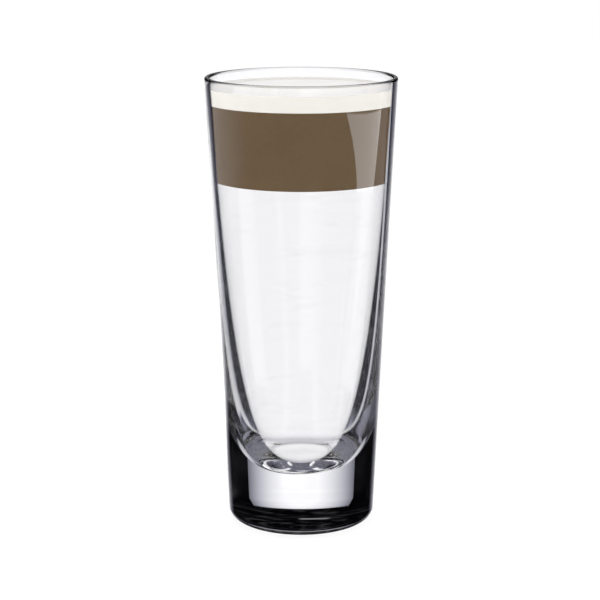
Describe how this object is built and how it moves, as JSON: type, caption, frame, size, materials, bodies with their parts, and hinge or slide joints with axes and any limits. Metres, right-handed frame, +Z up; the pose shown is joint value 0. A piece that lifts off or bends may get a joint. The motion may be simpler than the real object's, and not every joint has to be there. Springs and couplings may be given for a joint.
{
  "type": "chocolate punch",
  "caption": "Tall flared highball glass with a thick solid base, filled near the rim with a clear drink under a chocolate layer and a cream layer.",
  "frame": {"origin": "centre of the underside", "axes": "+Z up the glass, from the foot to the rim; the shape is the same all round"},
  "size_m": [0.068, 0.068, 0.1616],
  "materials": {
    "glass": "clear polished glass",
    "clear_layer": "clear, slightly milky liquid",
    "chocolate_layer": "opaque chocolate drink",
    "cream_layer": "opaque pale cream"
  },
  "bodies": {
    "root": {"glass": "glass", "clear_layer": "clear_layer", "chocolate_layer": "chocolate_layer", "cream_layer": "cream_layer"}
  },
  "joints": []
}
